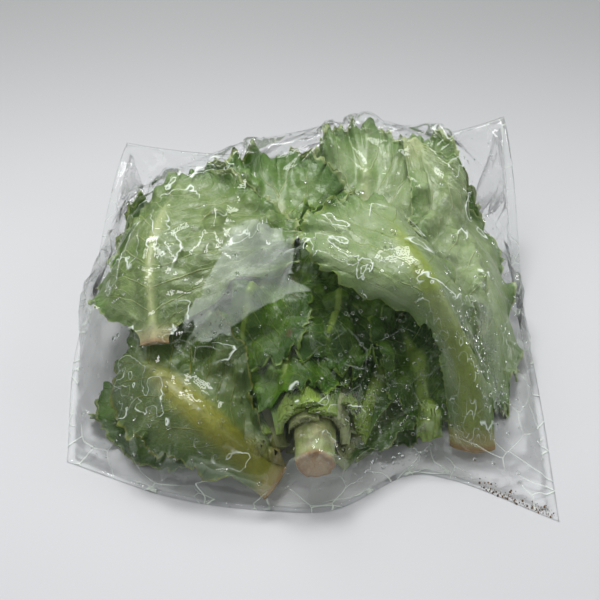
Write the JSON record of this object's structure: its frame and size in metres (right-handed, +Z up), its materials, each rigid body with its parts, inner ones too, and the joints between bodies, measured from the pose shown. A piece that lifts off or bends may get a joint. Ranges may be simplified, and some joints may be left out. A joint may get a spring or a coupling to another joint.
{
  "type": "bagged head of leaf lettuce",
  "caption": "Head of green leaf lettuce lying on its side in a clear perforated film bag, cut stem to the front, with loosened outer leaves.",
  "frame": {"origin": "on the table, under the middle of the bag's bounding box", "axes": "+Z up, -Y from the middle of the head towards its cut stem, +X to the right as seen from the stem's side"},
  "size_m": [0.28, 0.297, 0.1073],
  "materials": {
    "leaf_outer": "satin leaf, pale green",
    "leaf_inner": "satin leaf, fresh mid green",
    "leaf_cover": "dull pale green underside of a leaf",
    "stem": "cut stem, pale and slightly browned",
    "film": "clear crinkled film"
  },
  "bodies": {
    "root": {"bag": "film", "cover_leaf_left": "leaf_cover", "cover_leaf_right": "leaf_cover", "front_leaf_left": "leaf_inner", "front_leaf_middle": "leaf_inner", "front_leaf_right": "leaf_inner", "heart_leaf_left": "leaf_inner", "heart_leaf_middle": "leaf_inner", "heart_leaf_right": "leaf_inner", "inner_leaf_right": "leaf_inner", "low_leaf_front": "leaf_outer", "low_leaf_left": "leaf_outer", "low_leaf_right": "leaf_outer", "outer_leaf_back": "leaf_outer", "outer_leaf_back_left": "leaf_outer", "outer_leaf_back_right": "leaf_outer", "side_leaf_left": "leaf_cover", "side_leaf_right": "leaf_cover", "small_leaf_left": "leaf_inner", "small_leaf_right": "leaf_inner", "stem": "stem", "tall_leaf_far_right": "leaf_inner", "tall_leaf_left": "leaf_inner", "tall_leaf_middle": "leaf_inner", "tall_leaf_right": "leaf_inner"}
  },
  "joints": []
}
